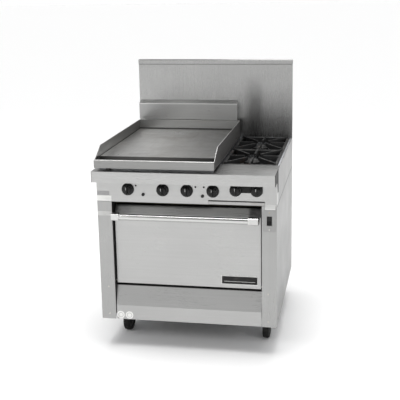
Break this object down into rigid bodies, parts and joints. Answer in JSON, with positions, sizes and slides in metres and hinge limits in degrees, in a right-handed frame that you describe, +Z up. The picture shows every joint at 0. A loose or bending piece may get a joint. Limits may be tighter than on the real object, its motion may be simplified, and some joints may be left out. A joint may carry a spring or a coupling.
{
  "type": "commercial gas range",
  "caption": "Free-standing restaurant range on casters: steel griddle and open gas burners over a fan oven with a drop-down door, tall backguard and front controls.",
  "frame": {"origin": "on the floor under the centre of the bounding box", "axes": "+X to the cook's right, +Y from the front towards the wall, +Z up"},
  "size_m": [0.864, 0.965, 1.346],
  "materials": {
    "stainless": "brushed",
    "galvanised": "zinc plated",
    "enamel": "porcelain enamel",
    "griddle_steel": "ground plate",
    "cast_iron": "black",
    "black_paint": "satin black",
    "cast_aluminium": "polished",
    "plated_wire": "plated",
    "brass": "turned",
    "black_plastic": "moulded",
    "wool": "glass wool",
    "tread": "moulded"
  },
  "bodies": {
    "range": {"back_panel": "galvanised", "backguard": "stainless", "base_frame": "galvanised", "burner_bodies": "cast_iron", "burner_box": "galvanised", "burner_heads": "cast_iron", "caster_plates": "galvanised", "control_panel": "stainless", "door_springs": "plated_wire", "fan_baffle": "enamel", "fan_motor": "black_paint", "flue_riser": "stainless", "front_frame": "stainless", "front_ledge": "stainless", "gas_manifold": "black_paint", "gas_valves": "brass", "grease_pan": "stainless", "griddle_burners": "cast_iron", "griddle_plate": "griddle_steel", "griddle_surround": "stainless", "kick_panel": "stainless", "knob_bezels": "black_plastic", "ledge_end_caps": "black_paint", "oven_burner": "cast_iron", "oven_insulation": "wool", "oven_liner": "enamel", "rack_guides": "plated_wire", "screws": "plated_wire", "side_panels": "stainless", "switch_plate": "stainless", "upper_side_panels": "stainless"},
    "door": {"door_skin": "stainless", "door_liner": "enamel", "door_insulation": "wool", "handle_bar": "stainless", "handle_brackets": "cast_aluminium", "hinge_arms": "plated_wire"},
    "lower_rack": {"oven_rack_lower": "plated_wire"},
    "upper_rack": {"oven_rack_upper": "plated_wire"},
    "fan": {"fan_wheel": "cast_aluminium"},
    "tray": {"drip_tray": "stainless"},
    "front_grate": {"grate_front": "cast_iron"},
    "rear_grate": {"grate_rear": "cast_iron"},
    "rocker": {"rocker_switch": "black_plastic"},
    "knob_griddle_left": {"knob_griddle_left": "black_plastic"},
    "knob_griddle_middle": {"knob_griddle_middle": "black_plastic"},
    "knob_griddle_right": {"knob_griddle_right": "black_plastic"},
    "knob_oven": {"knob_oven": "black_plastic"},
    "knob_burner_left": {"knob_burner_left": "black_plastic"},
    "knob_burner_right": {"knob_burner_right": "black_plastic"},
    "igniter_left": {"igniter_button_left": "black_plastic"},
    "igniter_right": {"igniter_button_right": "black_plastic"},
    "caster_front_left": {"fork_front_left": "galvanised"},
    "wheel_front_left": {"wheel_front_left": "tread"},
    "caster_front_right": {"fork_front_right": "galvanised"},
    "wheel_front_right": {"wheel_front_right": "tread"},
    "caster_rear_left": {"fork_rear_left": "galvanised"},
    "wheel_rear_left": {"wheel_rear_left": "tread"},
    "caster_rear_right": {"fork_rear_right": "galvanised"},
    "wheel_rear_right": {"wheel_rear_right": "tread"}
  },
  "joints": [
    {"name": "door_hinge", "type": "hinge", "parent": "range", "child": "door", "pos_m": [0, -0.3695, 0.343], "axis": [1, 0, 0], "range_deg": [0, 90], "stiffness_Nm_per_rad": 8, "springref_deg": -20.05, "deforming": ["door_springs"]},
    {"name": "knob_griddle_left_turn", "type": "hinge", "parent": "range", "child": "knob_griddle_left", "pos_m": [-0.277, -0.4265, 0.815], "axis": [0, -1, 0], "range_deg": [0, 90]},
    {"name": "knob_griddle_middle_turn", "type": "hinge", "parent": "range", "child": "knob_griddle_middle", "pos_m": [-0.108, -0.4265, 0.815], "axis": [0, -1, 0], "range_deg": [0, 90]},
    {"name": "knob_griddle_right_turn", "type": "hinge", "parent": "range", "child": "knob_griddle_right", "pos_m": [0.008, -0.4265, 0.815], "axis": [0, -1, 0], "range_deg": [0, 90]},
    {"name": "knob_oven_turn", "type": "hinge", "parent": "range", "child": "knob_oven", "pos_m": [0.132, -0.4265, 0.816], "axis": [0, -1, 0], "range_deg": [0, 270]},
    {"name": "knob_burner_left_turn", "type": "hinge", "parent": "range", "child": "knob_burner_left", "pos_m": [0.24, -0.4265, 0.824], "axis": [0, -1, 0], "range_deg": [0, 90]},
    {"name": "knob_burner_right_turn", "type": "hinge", "parent": "range", "child": "knob_burner_right", "pos_m": [0.338, -0.4265, 0.824], "axis": [0, -1, 0], "range_deg": [0, 90]},
    {"name": "igniter_left_push", "type": "slide", "parent": "range", "child": "igniter_left", "axis": [0, 1, 0], "range_m": [0, 0.003], "stiffness_N_per_m": 400},
    {"name": "igniter_right_push", "type": "slide", "parent": "range", "child": "igniter_right", "axis": [0, 1, 0], "range_m": [0, 0.003], "stiffness_N_per_m": 400},
    {"name": "rocker_tilt", "type": "hinge", "parent": "range", "child": "rocker", "pos_m": [0.397, -0.4015, 0.681], "axis": [1, 0, 0], "range_deg": [0, 16]},
    {"name": "tray_slide", "type": "slide", "parent": "range", "child": "tray", "axis": [0, -1, 0], "range_m": [0, 0.45]},
    {"name": "lower_rack_slide", "type": "slide", "parent": "range", "child": "lower_rack", "axis": [0, -1, 0], "range_m": [0, 0.045]},
    {"name": "upper_rack_slide", "type": "slide", "parent": "range", "child": "upper_rack", "axis": [0, -1, 0], "range_m": [0, 0.045]},
    {"name": "front_grate_lift", "type": "slide", "parent": "range", "child": "front_grate", "axis": [0, 0, 1], "range_m": [0, 0.12]},
    {"name": "rear_grate_lift", "type": "slide", "parent": "range", "child": "rear_grate", "axis": [0, 0, 1], "range_m": [0, 0.12]},
    {"name": "fan_spin", "type": "hinge", "parent": "range", "child": "fan", "pos_m": [0, 0.3235, 0.523], "axis": [0, 1, 0], "continuous": true},
    {"name": "caster_front_left_swivel", "type": "hinge", "parent": "range", "child": "caster_front_left", "pos_m": [-0.36, -0.2145, 0.14], "axis": [0, 0, 1], "continuous": true},
    {"name": "wheel_front_left_roll", "type": "hinge", "parent": "caster_front_left", "child": "wheel_front_left", "pos_m": [-0.35867, -0.17652, 0.0635], "axis": [0.9994, -0.0349, 0], "continuous": true},
    {"name": "caster_front_right_swivel", "type": "hinge", "parent": "range", "child": "caster_front_right", "pos_m": [0.36, -0.2145, 0.14], "axis": [0, 0, 1], "continuous": true},
    {"name": "wheel_front_right_roll", "type": "hinge", "parent": "caster_front_right", "child": "wheel_front_right", "pos_m": [0.36, -0.1765, 0.0635], "axis": [1, 0, 0], "continuous": true},
    {"name": "caster_rear_left_swivel", "type": "hinge", "parent": "range", "child": "caster_rear_left", "pos_m": [-0.36, 0.3325, 0.14], "axis": [0, 0, 1], "continuous": true},
    {"name": "wheel_rear_left_roll", "type": "hinge", "parent": "caster_rear_left", "child": "wheel_rear_left", "pos_m": [-0.35406, 0.37003, 0.0635], "axis": [0.9877, -0.1564, 0], "continuous": true},
    {"name": "caster_rear_right_swivel", "type": "hinge", "parent": "range", "child": "caster_rear_right", "pos_m": [0.36, 0.3325, 0.14], "axis": [0, 0, 1], "continuous": true},
    {"name": "wheel_rear_right_roll", "type": "hinge", "parent": "caster_rear_right", "child": "wheel_rear_right", "pos_m": [0.3521, 0.36967, 0.0635], "axis": [0.9781, 0.2079, 0], "continuous": true}
  ]
}
